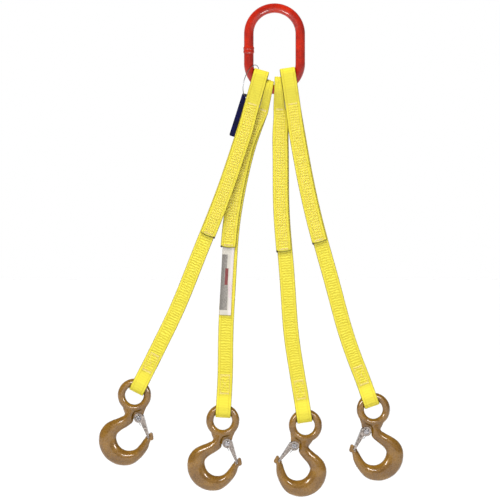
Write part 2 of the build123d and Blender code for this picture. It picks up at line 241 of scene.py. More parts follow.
def webbing_material():
    """Ribbed herringbone web, with painted shade in the weave's low places, along its selvedges and at its
    cut ends. The strap map holds millimetres across and along the web.
    """
    s = Shader("webbing", Roughness=0.62, Specular_IOR_Level=0.25, Sheen_Weight=0.06, Sheen_Roughness=0.5)
    s.surface.inputs["Sheen Tint"].default_value = rgb(255, 248, 170)
    across, along, _ = s.add("SeparateXYZ", {0: s.add("UVMap", uv_map="strap").outputs[0]}).outputs
    wander = s.noise(s.place(), 110.0, 3.0, 0.6)
    side = s.math("ABSOLUTE", across)
    calm = s.add("Attribute", attribute_name="calm").outputs["Fac"]
    middle = s.ramp(side, BODY_HALF - 0.7, BODY_HALF + 0.5, 1.0, 0.12)
    middle = s.math("MULTIPLY", middle, s.ramp(calm, 0.0, 1.0, 1.0, 0.12))
    chevron = s.math("MULTIPLY", s.math("PINGPONG", s.math("ADD", across, 50.0), CHEVRON / 2), 0.22)
    ribs_at = s.math("ADD", s.math("ADD", along, chevron), s.math("MULTIPLY", wander, 6.0))
    rib = s.math("MULTIPLY", s.math("SINE", s.math("MULTIPLY", ribs_at, math.tau / RIB_PITCH)), middle)
    pick = s.math("SINE", s.math("MULTIPLY", s.math("ADD", along, chevron), math.tau / PICK_PITCH))
    warp = s.math("SINE", s.math("MULTIPLY", across, math.tau / WARP_PITCH))
    height = s.math("ADD", s.math("MULTIPLY", rib, 0.45), s.math("MULTIPLY", warp, 0.2))
    height = s.math("ADD", height, s.math("MULTIPLY", pick, 0.3))
    height = s.math("ADD", height, s.math("MULTIPLY", s.noise(s.place(), 900.0, 3.0, 0.6), 0.4))
    # Painted shade and painted highlight: the weave's low places and rib troughs are coloured darker, its
    # crests lighter.
    colour = s.mix(s.ramp(height, -0.5, 0.8), rgb(212, 193, 42), rgb(247, 237, 84))
    colour = s.mix(s.ramp(rib, -0.9, 0.4, 0.3, 0.0), colour, rgb(206, 180, 28))
    patches = s.ramp(s.noise(s.place(), 28.0, 4.0, 0.6), 0.35, 0.7)
    colour = s.mix(s.math("MULTIPLY", patches, 0.2), colour, rgb(222, 206, 46))
    border = s.math("ABSOLUTE", s.math("SUBTRACT", side, BODY_HALF + 0.4))
    border = s.math("MULTIPLY", s.ramp(border, 0.2, 0.9, 1.0, 0.0), 0.4)
    colour = s.mix(border, colour, rgb(200, 170, 20))
    # Painted shade: both selvedges are darkened to olive brown and broken into dashes by noise.
    selvedge_shade = s.math("ADD", side, s.math("MULTIPLY", s.noise(s.place(), 400.0), 0.6))
    colour = s.mix(s.ramp(selvedge_shade, 11.9, 12.7, 0.0, 0.92), colour, rgb(122, 96, 6))
    # Painted shade at the strap's cut ends: the rows there, marked by the cut attribute, are darkened nearly
    # to black-brown.
    cut = s.add("Attribute", attribute_name="cut").outputs["Fac"]
    colour = s.mix(cut, colour, rgb(58, 42, 6))
    s.feed(s.surface.inputs["Base Color"], colour)
    s.feed(s.surface.inputs["Roughness"], s.ramp(height, -0.5, 0.9, 0.75, 0.5))
    s.bump(height, 0.0003, 1.0)
    return s.material


def thread_material(name, low, high):
    s = Shader(name, Roughness=0.5, Sheen_Weight=0.2)
    twist = s.math("SINE", s.math("MULTIPLY", s.noise(s.place(), 700.0, 1.0), 40.0))
    s.feed(s.surface.inputs["Base Color"], s.mix(s.ramp(twist, -1.0, 1.0), low, high))
    s.bump(twist, 0.00005, 0.6)
    return s.material


def melted_material():
    """Web fibre melted to a dark, glassy bead."""
    s = Shader("melted_web", Roughness=0.35)
    cloud = s.noise(s.place(), 600.0, 3.0)
    s.feed(s.surface.inputs["Base Color"], s.mix(s.ramp(cloud, 0.3, 0.7), rgb(30, 22, 4), rgb(64, 48, 8)))
    s.bump(cloud, 0.0002, 0.6)
    return s.material


def link_material():
    """Clouded red-orange enamel over a slightly dented forged bar, with a few dark specks."""
    s = Shader("link_enamel", Roughness=0.3, Specular_IOR_Level=0.2, Coat_Weight=0.6, Coat_Roughness=0.06)
    cloud = s.noise(s.place(), 60.0, 5.0, 0.6)
    colour = s.mix(s.ramp(cloud, 0.3, 0.7), rgb(158, 22, 3), rgb(198, 38, 6))
    speck = s.ramp(s.noise(s.place(), 420.0, 2.0), 0.72, 0.8)
    colour = s.mix(s.math("MULTIPLY", speck, 0.5), colour, rgb(96, 14, 8))
    s.feed(s.surface.inputs["Base Color"], colour)
    s.feed(s.surface.inputs["Roughness"], s.ramp(cloud, 0.3, 0.7, 0.36, 0.22))
    grain = s.math("MULTIPLY", s.noise(s.place(), 700.0, 2.0), 0.15)
    dents = s.math("ADD", s.noise(s.place(), 120.0, 3.0), grain)
    s.bump(dents, 0.0005, 0.5)
    return s.material


def hook_material():
    """Gold-brown lacquer over forged steel: mottled, glossy and a little orange-peeled."""
    s = Shader("hook_lacquer", Metallic=0.12, Roughness=0.34, Coat_Weight=1.0, Coat_Roughness=0.05)
    cloud = s.noise(s.place(), 45.0, 6.0, 0.65)
    fine = s.noise(s.place(), 350.0, 3.0, 0.6)
    colour = s.mix(s.ramp(cloud, 0.3, 0.72), rgb(113, 76, 12), rgb(144, 102, 20))
    colour = s.mix(s.ramp(fine, 0.55, 0.75, 0.0, 0.35), colour, rgb(142, 102, 16))
    s.feed(s.surface.inputs["Base Color"], colour)
    s.feed(s.surface.inputs["Roughness"], s.ramp(fine, 0.3, 0.7, 0.22, 0.38))
    s.bump(s.math("ADD", cloud, s.math("MULTIPLY", fine, 0.25)), 0.0004, 0.35)
    return s.material


def metal_material(name, low, high, roughness):
    """Plated or drawn steel with a fine grain and a little tarnish."""
    s = Shader(name, Metallic=1.0, Roughness=roughness)
    streak = s.noise(s.place(), 500.0, 4.0, 0.6)
    tarnish = s.noise(s.place(), 120.0, 3.0)
    colour = s.mix(s.ramp(streak, 0.3, 0.7), low, high)
    colour = s.mix(s.ramp(tarnish, 0.55, 0.75, 0.0, 0.4), colour, low)
    s.feed(s.surface.inputs["Base Color"], colour)
    s.feed(s.surface.inputs["Roughness"], s.ramp(streak, 0.3, 0.7, roughness + 0.1, roughness - 0.05))
    s.bump(streak, 0.00006, 0.5)
    return s.material


def tag_material():
    """Dark blue stove enamel with faint scuffs."""
    s = Shader("tag_enamel", Roughness=0.3, Specular_IOR_Level=0.2)
    cloud = s.noise(s.place(), 80.0, 4.0, 0.6)
    scuff = s.add("Mapping", {"Vector": s.place(), "Scale": (1.0, 1.0, 0.12)}).outputs[0]
    scuff = s.ramp(s.noise(scuff, 700.0, 3.0, 0.7), 0.6, 0.75)
    colour = s.mix(s.ramp(cloud, 0.35, 0.7), rgb(5, 5, 40), rgb(14, 14, 78))
    colour = s.mix(s.math("MULTIPLY", scuff, 0.2), colour, rgb(80, 80, 150))
    s.feed(s.surface.inputs["Base Color"], colour)
    s.feed(s.surface.inputs["Roughness"], s.ramp(cloud, 0.3, 0.7, 0.36, 0.2))
    s.bump(cloud, 0.0004, 0.4)
    return s.material


def label_material():
    """White coated cloth with a mottled grey printed block, a dark red panel and a fabric grain."""
    s = Shader("label", Roughness=0.42, Specular_IOR_Level=0.4)
    place = s.add("UVMap", uv_map="strap").outputs[0]
    across, along, _ = s.add("SeparateXYZ", {0: place}).outputs
    ink = s.add("Mapping", {"Vector": place, "Scale": (0.55, 0.3, 1.0)}).outputs[0]
    blot = s.noise(ink, 1.0, 5.0, 0.8)
    edge = s.ramp(along, 30.0, 78.0, 9.0, 12.6)
    block = s.ramp(s.math("SUBTRACT", across, edge), -0.3, 0.3, 1.0, 0.0)
    block = s.math("MULTIPLY", block, s.ramp(along, 13.0, 14.0))
    block = s.math("MULTIPLY", block, s.ramp(along, 105.0, 106.0, 1.0, 0.0))
    cloth = s.mix(s.ramp(across, 12.0, 17.0), rgb(198, 192, 179), rgb(218, 209, 205))
    printed = s.mix(s.ramp(across, 2.0, 8.0), rgb(98, 93, 86), rgb(140, 134, 126))
    colour = s.mix(s.math("MULTIPLY", block, 0.9), cloth, printed)
    shade = s.math("MULTIPLY", block, s.ramp(blot, 0.42, 0.6))
    colour = s.mix(s.math("MULTIPLY", shade, 0.7), colour, rgb(86, 80, 75))
    tint = s.math("MULTIPLY", s.ramp(along, 56.0, 62.0), s.ramp(along, 80.0, 88.0, 1.0, 0.0))
    tint = s.math("MULTIPLY", tint, s.math("MULTIPLY", s.ramp(across, 12.8, 13.2), s.ramp(blot, 0.45, 0.6)))
    colour = s.mix(s.math("MULTIPLY", tint, 0.6), colour, rgb(206, 150, 176))
    panel = s.math("MULTIPLY", s.ramp(across, 6.4, 6.7), s.ramp(across, 11.6, 11.9, 1.0, 0.0))
    panel = s.math("MULTIPLY", panel, s.ramp(along, 36.0, 36.4))
    panel = s.math("MULTIPLY", panel, s.ramp(along, 63.6, 64.0, 1.0, 0.0))
    colour = s.mix(panel, colour, rgb(112, 6, 6))
    s.feed(s.surface.inputs["Base Color"], colour)
    s.bump(s.noise(s.place(), 1500.0, 2.0), 0.00005, 0.6)
    return s.material


WEBBING = webbing_material()
THREAD = thread_material("thread", rgb(236, 206, 112), rgb(252, 232, 150))
BOX_THREAD = thread_material("box_thread", rgb(236, 200, 176), rgb(255, 240, 228))
MELTED = melted_material()
LINK = link_material()
HOOK = hook_material()
ZINC = metal_material("latch_zinc", rgb(104, 96, 90), rgb(200, 188, 180), 0.22)
BOLT = metal_material("bolt_zinc", rgb(104, 102, 104), rgb(214, 210, 212), 0.14)
SPRING = metal_material("spring_steel", rgb(70, 70, 74), rgb(150, 150, 152), 0.3)
WIRE = metal_material("ring_wire", rgb(100, 100, 104), rgb(184, 184, 186), 0.25)
TAG = tag_material()
LABEL = label_material()


# ---------------------------------------------------------------- the legs' lines

class Leg:
    """A leg's centreline in the XZ plane, by distance from its upper throat."""

    def __init__(self, number):
        self.number = number
        self.name = f"leg_{number}"
        throat, width = joint_at(f"{self.name}_swing")
        knot, knot_width = joint_at(f"{self.name}_flex")
        cut, _ = joint_at(f"{self.name}_bend")
        self.stack_y, self.ply_y, self.lower_y = throat.y, cut.y, knot.y
        start, end = (np.array((p.x, p.z)) for p in (throat, knot))
        self.down = np.array((width.z, -width.x))
        low_down = np.array((knot_width.z, -knot_width.x))
        reach = np.linalg.norm(end - start) / 3
        t = np.linspace(0, 1, 600)[:, None]
        handles = (start, start + self.down * reach, end - low_down * reach, end)
        weights = ((1 - t) ** 3, 3 * t * (1 - t) ** 2, 3 * t**2 * (1 - t), t**3)
        line = sum(w * h for w, h in zip(weights, handles))
        cut_mark = self.nearest(cut, line)
        hang = np.array(HANG[number]) * MM
        line[:, 0] += through(hang[:, None], np.linspace(0, 1, len(hang)), t[:, 0], level_ends=True)[:, 0]
        steps = np.linalg.norm(np.diff(line, axis=0), axis=1)
        self.length = steps.sum()
        line = np.vstack([start - self.down * SPARE, line, end + low_down * SPARE])
        self.s = np.concatenate([[-SPARE, 0], np.cumsum(steps), [self.length + SPARE]])
        self.line = line
        self.start = start
        self.cut = float(self.s[cut_mark + 1])

    @staticmethod
    def nearest(point, line):
        return int(np.argmin(np.linalg.norm(line - np.array((point.x, point.z)), axis=1)))

    def centre(self, s):
        return np.stack([np.interp(s, self.s, self.line[:, i]) for i in (0, 1)], -1)

    def direction(self, s):
        reach = 1.5 * MM
        d = self.centre(np.asarray(s) + reach) - self.centre(np.asarray(s) - reach)
        return d / np.linalg.norm(d, axis=-1, keepdims=True)

    def point(self, s, y, across=0.0, proud=0.0, normal=(0.0, -1.0)):
        """A point of the leg. proud lifts it along normal, which is given in s and y."""
        s = np.asarray(s, float)
        d = self.direction(s)
        lift_s = np.asarray(proud * np.asarray(normal[0]))
        xz = self.centre(s) + np.stack([-d[..., 1], d[..., 0]], -1) * np.asarray(across)[..., None]
        xz = xz + d * lift_s[..., None]
        depth = y + proud * np.asarray(normal[1])
        return np.stack([xz[..., 0], np.broadcast_to(depth, xz[..., 0].shape), xz[..., 1]], -1)

    def spot(self, s):
        """The point of the sewn web's middle surface at s."""
        x, z = self.centre(s)
        return float(x), self.stack_y, float(z)


def tangent_angle(centre, radius, point, front):
    """Where a line from point, at the throat, touches the front or back of a circle."""
    d = np.array(point) - np.array(centre)
    spread = math.acos(radius / np.linalg.norm(d))
    angle = math.atan2(d[1], d[0])
    if front:
        return (angle - math.tau if angle > 0 else angle) + spread
    return (angle + math.tau if angle < 0 else angle) - spread


def arc(centre, radius, a, b):
    angles = np.linspace(a, b, max(3, int(abs(b - a) * radius / (0.6 * MM))))
    return [(centre[0] + radius * math.cos(k), centre[1] + radius * math.sin(k)) for k in angles]


def eye_line(throat_y, bar, far, middle_y, radius):
    """The web's middle line round an eye, as heights above the throat and depths, front first."""
    quarter = math.pi / 2
    front, back = (0.0, throat_y - PLY / 2), (0.0, throat_y + PLY / 2)
    near_centre, far_centre = (bar, middle_y), (far, middle_y)
    line = [front]
    line += arc(near_centre, radius, tangent_angle(near_centre, radius, front, True), -quarter)
    line += arc(far_centre, radius, -quarter, quarter)
    line += arc(near_centre, radius, quarter, tangent_angle(near_centre, radius, back, False))
    return line + [back]


def bar_height(leg, offset):
    """How far above the throat the link's bar crosses a line this far across the eye."""
    across = np.array((-leg.down[1], leg.down[0]))
    start = leg.start + across * offset - np.array((0, LINK_LOW_Z))
    along = start @ leg.down
    return along - math.sqrt(along**2 - start @ start + LINK_BEND**2)


def strap_line(leg):
    """The whole strap's middle line, as s and y: front ply, upper eye, back ply, lower eye, tail."""
    inside = BAR + EYE_ROOM + PLY / 2
    far = UPPER_EYE[leg.number] - inside - PLY / 2
    bar = min(bar_height(leg, -HALF_WIDTH), bar_height(leg, HALF_WIDTH))
    upper = [(-h, y) for h, y in eye_line(leg.stack_y, bar, far, 0.0, inside)]
    inside = RING_BAR + EYE_ROOM + PLY / 2
    far = LOWER_THROAT - LOWER_FOLD - inside - PLY / 2
    bar = LOWER_THROAT - RING_BEND
    lower = [(leg.length + h, y) for h, y in eye_line(leg.lower_y, bar, far, leg.lower_y, inside)]
    first = [(leg.cut + FRONT_END, leg.stack_y - PLY / 2)]
    last = [(leg.length - TAIL_LENGTH, leg.lower_y + PLY / 2)]
    return np.array(first + upper + lower + last)


def evened(line, step):
    """The line's points set evenly apart and its corners eased."""
    gaps = np.linalg.norm(np.diff(line, axis=0), axis=1)
    at = np.concatenate([[0], np.cumsum(gaps)])
    marks = np.linspace(0, at[-1], int(at[-1] / step))
    points = np.stack([np.interp(marks, at, line[:, i]) for i in (0, 1)], -1)
    for _ in range(4):
        points[1:-1] = (points[:-2] + 2 * points[1:-1] + points[2:]) / 4
    gaps = np.linalg.norm(np.diff(points, axis=0), axis=1)
    return points, np.concatenate([[0], np.cumsum(gaps)])


# ---------------------------------------------------------------- straps

def section():
    """The strap's cross-section: across and lift from its middle, with rounded selvedges."""
    half, edge = HALF_WIDTH, PLY / 2
    flat = np.linspace(-(half - edge), half - edge, 13)
    turn = np.linspace(-math.pi / 2, math.pi / 2, 8)[1:-1]
    right = [(half - edge + edge * math.cos(a), edge * math.sin(a)) for a in turn]
    outer = [(x, edge) for x in flat[::-1]]
    left = [(-x, -y) for x, y in right]
    inner = [(x, -edge) for x in flat]
    return np.array(inner + right + outer + left)


# The two middle eyes are bunched on the bar: each fills what is left between its outer
# neighbour and the side line given here, as x and z in millimetres.
OUTER_NEIGHBOUR = {2: 1, 3: 4}
FREE_SIDE = {2: ((4.8, -88.0), (-12.6, -176.0)), 3: ((1.0, -88.0), (-2.6, -176.0))}
EYE_GAP = 0.15 * MM
SLIP = 2.2 * MM  # how far the third leg's eye has slid along the bar
BUNCH_LOW, BUNCH_HIGH = -20.0 * MM, 1.0 * MM
FOLD_DEPTH = 0.55 * MM
CUT_ROWS, CUT_LIFT, CUT_SAG = 14, 0.55 * MM, 1.7 * MM


def line_across(leg, height, a, b):
    """Where the line from a to b crosses the leg at each height above its throat, measured across."""
    across = np.array((-leg.down[1], leg.down[0]))
    a, b = np.array(a) - leg.start, np.array(b) - leg.start
    (ha, ua), (hb, ub) = (-(a @ leg.down), a @ across), (-(b @ leg.down), b @ across)
    return ua + (height - ha) * (ub - ua) / (hb - ha)


def eye_sides(leg, height):
    """The low and high side of the strap across the leg, at each height above the throat."""
    low, high = np.full_like(height, -HALF_WIDTH), np.full_like(height, HALF_WIDTH)
    if leg.number not in FREE_SIDE:
        return low, high
    other = legs[OUTER_NEIGHBOUR[leg.number]]
    sign = 1 if leg.number == 2 else -1
    other_across = np.array((-other.down[1], other.down[0]))
    foot = other.start + other_across * sign * (HALF_WIDTH + EYE_GAP)
    crowded = line_across(leg, height, foot, foot + other.down)
    free = line_across(leg, height, *(np.array(p) * MM for p in FREE_SIDE[leg.number]))
    if sign == 1:
        tight_low, tight_high = np.maximum(crowded, -HALF_WIDTH), np.minimum(free, HALF_WIDTH)
    else:
        tight_low, tight_high = np.maximum(free, -HALF_WIDTH - SLIP), np.minimum(crowded, HALF_WIDTH)
    share = smoothstep(height, BUNCH_LOW, BUNCH_HIGH)
    return low + (tight_low - low) * share, high + (tight_high - high) * share


def on_web(leg, s, share, front):
    """How far across the leg a point of the web lies, and how deep its folds are there.

    share runs from 0 at the web's low side to 1 at its high side.
    """
    low, high = eye_sides(leg, -s)
    across = low + (high - low) * share
    squeeze = np.clip(1 - (high - low) / (2 * HALF_WIDTH), 0, 1)
    folds = FOLD_DEPTH * squeeze * (1 - np.cos(share * math.tau * 2.5))
    across = across + front * smoothstep(s, 0.0, 0.06) * FRONT_SHIFT[leg.number]
    sway = 0.35 * MM * np.sin(s * 37.0 + leg.number * 1.7) * smoothstep(s, 0.02, 0.08)
    return across + sway * smoothstep(leg.length - s, 0.0, 0.05), folds


def strap_rows(leg, line, at):
    """The strap's section set along its line: points, and the strap map of each point."""
    shape = section()
    ahead = np.gradient(line, axis=0)
    ahead /= np.linalg.norm(ahead, axis=1, keepdims=True)
    normal = np.stack([ahead[:, 1], -ahead[:, 0]], -1)
    share = (shape[:, 0] / HALF_WIDTH + 1) / 2
    in_front = (np.arange(len(line)) < len(line) // 3)[:, None]
    across, folds = on_web(leg, line[:, :1], share, in_front)
    cut_end = np.clip(1 - np.arange(len(line)) / CUT_ROWS, 0, 1)[:, None] ** 2
    lift = shape[None, :, 1] + folds + CUT_LIFT * cut_end
    s = line[:, :1] + normal[:, :1] * lift + CUT_SAG * cut_end * (0.6 - (2 * share - 1) ** 2)
    y = line[:, 1:] + normal[:, 1:] * lift
    points = leg.point(s, y, across)
    marks = np.stack([np.broadcast_to(shape[None, :, 0] / MM, s.shape),
                      np.broadcast_to(at[:, None] / MM, s.shape)], -1)
    return points, marks


def strap_piece(name, leg, rows, marks, s, runs, cuts=()):
    """One mesh from runs of rows. cuts lists the row numbers that are the strap's own cut ends, where
    painted shade darkens the web.
    """
    in_eye = np.maximum(smoothstep(-s, -6 * MM, 4 * MM), smoothstep(s, leg.length - 6 * MM, leg.length))
    points, faces, uvs, dark, calm = [], [], [], [], []
    count = rows.shape[1]
    for first, last in runs:
        start = len(points)
        block = rows[first:last]
        points.extend(map(tuple, block.reshape(-1, 3)))
        uvs.extend(map(tuple, marks[first:last].reshape(-1, 2)))
        for row in range(first, last):
            # Painted shade: the rows next to the strap's own cut ends get a dark share, stored as the cut
            # attribute.
            near = min((abs(row - cut) for cut in cuts), default=9)
            dark.extend([max(0.0, 1.0 - near / 2.2) * 0.9] * count)
            calm.extend([float(in_eye[row])] * count)
        faces.extend(map(tuple, grid_faces(len(block), count, first=start)))
        faces.append(tuple(range(start, start + count)))
        faces.append(tuple(reversed(range(start + (len(block) - 1) * count, start + len(block) * count))))
    mesh = mesh_from(name, points, faces)
    layer = mesh.uv_layers.new(name="strap")
    layer.data.foreach_set("uv", np.array([uvs[loop.vertex_index] for loop in mesh.loops]).ravel())
    mesh.attributes.new("cut", "FLOAT", "POINT").data.foreach_set("value", dark)
    mesh.attributes.new("calm", "FLOAT", "POINT").data.foreach_set("value", calm)
    obj = new_object(name, mesh, WEBBING)
    return obj


def outwards(obj):
    """Turns the mesh's faces to look out."""
    work = bmesh.new()
    work.from_mesh(obj.data)
    bmesh.ops.recalc_face_normals(work, faces=work.faces)
    work.to_mesh(obj.data)
    work.free()
    return obj


legs = {n: Leg(n) for n in LEGS}
CUT_UPPER = 0.45  # of the splice: where the upper piece of a strap meets the middle one
BEND_REACH = 14.0 * MM
LABEL_SIZE = (19.5 * MM, 114.0 * MM, 0.5 * MM)
LABEL_FOOT = 124.0 * MM  # below the splice's end: clear of the label
TAIL_CLEAR = 5.0 * MM


def leg_blends(leg):
    """For each of the leg's four pieces: its two bodies, and where on the leg its blend starts and ends."""
    eye_body = f"{leg.name}_upper_eye" if leg.number in (1, 4) else "master_link"
    tail_start = leg.length - TAIL_LENGTH
    return {
        "upper": (eye_body, f"{leg.name}_splice", -BEND_REACH / 2, BEND_REACH),
        "middle": (f"{leg.name}_splice", f"{leg.name}_web", leg.cut - BEND_REACH, leg.cut + BEND_REACH),
        "lower": (f"{leg.name}_web", f"{leg.name}_tail", leg.cut + LABEL_FOOT, tail_start - TAIL_CLEAR),
        "end": (f"{leg.name}_tail", f"{leg.name}_lower_eye",
                leg.length - BEND_REACH, leg.length + BEND_REACH / 2),
    }


def blend_leg(obj, leg, part):
    a, b, start, end = leg_blends(leg)[part]
    leg.spot(start)
    leg.spot(end)
    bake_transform(obj)


def build_strap(leg):
    line, at = evened(strap_line(leg), ROW_STEP)
    rows, marks = strap_rows(leg, line, at)
    s, last = line[:, 0], len(line)
    upper_cut = leg.cut * CUT_UPPER
    lower_cut = leg.cut + LABEL_FOOT - TAIL_CLEAR
    end_cut = leg.length - TAIL_LENGTH - 2 * MM
    front = int(np.argmax(s < upper_cut))
    back = front + int(np.argmax(s[front + 5:] > upper_cut)) + 5
    low = back + int(np.argmax(s[back:] > lower_cut))
    end = back + int(np.argmax(s[back:] > end_cut))
    runs = {
        "upper": ([(front, back + 1)], ()),
        "middle": ([(0, front + 1), (back, low + 1)], (0,)),
        "lower": ([(low, end + 1)], ()),
        "end": ([(end, last)], (last - 1,)),
    }
    stands_for = {"upper": ["upper_eye"], "middle": ["splice"], "lower": ["web"],
                  "end": ["tail", "lower_eye"]}
    for part, (blocks, cuts) in runs.items():
        piece = outwards(strap_piece(f"{leg.name}_strap_{part}", leg, rows, marks, s, blocks, cuts))
        blend_leg(piece, leg, part)
        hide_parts(*(f"{leg.name}_{node}" for node in stands_for[part]))


# ---------------------------------------------------------------- sewing

THREAD_RADIUS = 0.3 * MM
STITCH_PITCH = 3.1 * MM


def stitch(leg, start, end, y, side, front):
    """A thread over the web's face from start to end, each an s and an across, sunk at both ends."""
    reach = np.array([-0.02, 0.12, 0.5, 0.88, 1.02])
    proud = np.array([-0.35, 0.16, 0.26, 0.16, -0.35]) * MM * side
    thick = np.array([0.7, 0.95, 1.0, 0.95, 0.7]) * THREAD_RADIUS
    s = start[0] + (end[0] - start[0]) * reach
    u = start[1] + (end[1] - start[1]) * reach
    u, folds = on_web(leg, s, (u / HALF_WIDTH + 1) / 2, front)
    middle = leg.point(s, 0.0, u)
    middle[:, 1] = y + proud - folds * side
    along = middle[-1] - middle[0]
    along[1] = 0
    along /= np.linalg.norm(along)
    depth = np.array((0.0, 1.0, 0.0))
    wide = np.cross(along, depth)
    angles = np.arange(6) * math.tau / 6
    rings = [m + t * (np.cos(angles)[:, None] * wide + np.sin(angles)[:, None] * depth)
             for m, t in zip(middle, thick)]
    return np.concatenate(rings), grid_faces(5, 6)


def sew(name, leg, part, strokes, y, side, material, front=False):
    """Every stroke that belongs to one piece of the strap, as one mesh."""
    if not strokes:
        return
    obj = new_object(name, joined(name, [stitch(leg, a, b, y, side, front) for a, b in strokes]), material)
    blend_leg(outwards(obj), leg, part)


def splice_ends(leg):
    return 1 * MM, leg.cut + FRONT_END - 5 * MM


def tacks(leg):
    """The short row of tacks at each end of the splice."""
    rows = zip(splice_ends(leg), (3.2 * MM, 2.8 * MM))
    return [((end, u * MM), (end + long, u * MM)) for end, long in rows for u in np.linspace(-6.5, 6.5, 7)]


def splice_strokes(leg):
    """Zigzag rows down the splice."""
    top, foot = splice_ends(leg)
    strokes = []
    count = int((foot - top - 6 * MM) / STITCH_PITCH)
    for row, u in enumerate(np.linspace(-6.2, 6.2, 5)):
        for k in range(count):
            s = top + 5 * MM + (k + 0.3 * (row % 2)) * STITCH_PITCH
            lean = 0.62 * MM * (1 if (k + row) % 2 else -1)
            strokes.append(((s, u * MM - lean), (s + STITCH_PITCH * 0.82, u * MM + lean)))
    return strokes


def run(a, b, pitch, gap=0.2):
    """Evenly spaced strokes from a to b, each point an s and an across."""
    a, b = np.array(a), np.array(b)
    count = max(1, round(np.linalg.norm(b - a) / pitch))
    marks = np.linspace(0, 1, count + 1)
    step = marks[1]
    return [(a + (b - a) * m, a + (b - a) * (m + step * (1 - gap))) for m in marks[:-1]]


def box_strokes(leg):
    """The row of tacks at each end of the tail's sewing, and the box with a cross in it between them."""
    top, foot, half = leg.length - TAIL_LENGTH + 1 * MM, leg.length - 4 * MM, 7.6 * MM
    pitch = 2.6 * MM
    rows = [((s, u * MM), (s + 2.4 * MM, u * MM))
            for s in (top, foot - 2.4 * MM) for u in np.linspace(-7, 7, 8)]
    top, foot = top + 3.4 * MM, foot - 3.4 * MM
    strokes = run((top, -half), (foot, -half), pitch) + run((top, half), (foot, half), pitch)
    strokes += run((top, -half), (top, half), pitch) + run((foot, -half), (foot, half), pitch)
    strokes += run((top, -half), (foot, half), pitch) + run((top, half), (foot, -half), pitch)
    return rows, strokes


def build_sewing(leg):
    upper_cut = leg.cut * CUT_UPPER
    for side, face in ((-1, "front"), (1, "back")):
        front = side == -1
        y = leg.stack_y + side * PLY
        kinds = (("stitches", splice_strokes(leg), THREAD), ("tacks", tacks(leg), BOX_THREAD))
        for kind, strokes, material in kinds:
            groups = {"upper": [k for k in strokes if k[1][0] < upper_cut],
                      "middle": [k for k in strokes if k[1][0] >= upper_cut]}
            for part, found in groups.items():
                sew(f"{leg.name}_{kind}_{part}_{face}", leg, part, found, y, side, material, front)
        y = leg.lower_y + side * PLY
        rows, box = box_strokes(leg)
        sew(f"{leg.name}_tail_tacks_{face}", leg, "end", rows, y, side, BOX_THREAD)
        sew(f"{leg.name}_box_{face}", leg, "end", box, y, side, THREAD)


BEAD = (2.1 * MM, 1.7 * MM, 1.5 * MM)  # half sizes along, across and through the web


def build_bead(leg):
    """The melted corner of the front ply's cut end."""
    s = leg.cut + FRONT_END - 0.4 * MM
    u, _ = on_web(leg, s, 0.5 + 0.44 * MELTED_CORNER[leg.number], True)
    work = bmesh.new()
    bmesh.ops.create_icosphere(work, subdivisions=3, radius=1.0)
    for vert in work.verts:
        lump = 1 + 0.16 * math.sin(3.1 * vert.co.x + leg.number) * math.cos(2.3 * vert.co.z)
        at, wide, deep = (c * size * lump for c, size in zip(vert.co, BEAD))
        vert.co = leg.point(s + at, leg.stack_y - PLY / 2 + deep, u + wide)
    mesh = bpy.data.meshes.new(f"{leg.name}_melted_corner")
    work.to_mesh(mesh)
    work.free()
    mesh.shade_smooth()
    obj = outwards(new_object(f"{leg.name}_melted_corner", mesh, MELTED))
    blend_leg(obj, leg, "middle")


LABEL_SHIFT = -2.6 * MM
LABEL_LIFT = 1.6 * MM


def build_label(leg):
    """A coated cloth label on the front of the single ply, its foot curling up a little."""
    width, length, thick = LABEL_SIZE
    start = leg.cut + FRONT_END - 1 * MM
    down = np.linspace(0, length, 96)
    across = np.linspace(0, width, 22)
    face = leg.ply_y - PLY / 2
    side = LABEL_SHIFT - width / 2
    d, a = np.meshgrid(down, across, indexing="ij")
    curl = LABEL_LIFT * smoothstep(d, length - 16 * MM, length + 8 * MM) * (0.35 + 0.65 * a / width)
    ripple = 0.12 * MM * np.sin(d * 260.0) * np.sin(a * 210.0 + 1.0)
    front = face - thick - curl - 0.1 * MM + np.minimum(ripple, 0)
    points, faces, marks = [], [], []
    for y in (front, front + thick):
        block = leg.point(start + d, 0.0, side + a)
        block[..., 1] = y
        points.append(block.reshape(-1, 3))
        marks.append(np.stack([a / MM, d / MM], -1).reshape(-1, 2))
    count = d.size
    faces += list(grid_faces(*d.shape, closed_columns=False))
    faces += list(grid_faces(*d.shape, closed_columns=False, first=count))
    index = np.arange(count).reshape(d.shape)
    rim = np.concatenate([index[:, 0], index[-1, 1:], index[::-1, -1][1:], index[0, ::-1][1:]])
    faces += [(i, j, j + count, i + count) for i, j in zip(rim[:-1], rim[1:])]
    mesh = mesh_from("leg_2_label_cloth", np.concatenate(points), faces)
    marks = np.concatenate(marks)
    layer = mesh.uv_layers.new(name="strap")
    layer.data.foreach_set("uv", np.array([marks[loop.vertex_index] for loop in mesh.loops]).ravel())
    obj = outwards(new_object("leg_2_label_cloth", mesh, LABEL))
    blend_leg(obj, leg, "middle")
    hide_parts("leg_2_label")


# ---------------------------------------------------------------- metalwork

def swept(middles, thick, closed=True, around=40):
    """A round bar in the XZ plane through the middles, which have a y of their own if given three values."""
    middles = np.asarray(middles, float)
    ahead = np.roll(middles, -1, 0) - np.roll(middles, 1, 0)
    if not closed:
        ahead = np.gradient(middles, axis=0)
    ahead /= np.linalg.norm(ahead, axis=1, keepdims=True)
    depth = np.array((0.0, 1.0, 0.0))
    wide = np.cross(ahead, depth)
    wide /= np.linalg.norm(wide, axis=1, keepdims=True)
    angles = np.arange(around) * math.tau / around
    rings = middles[:, None] + thick[:, None, None] * (
        np.cos(angles)[None, :, None] * wide[:, None] + np.sin(angles)[None, :, None] * depth)
    return rings.reshape(-1, 3), grid_faces(len(middles), around, closed_rows=closed)


LINK_COAT = 0.2 * MM  # how much the enamel adds to the bar's radius


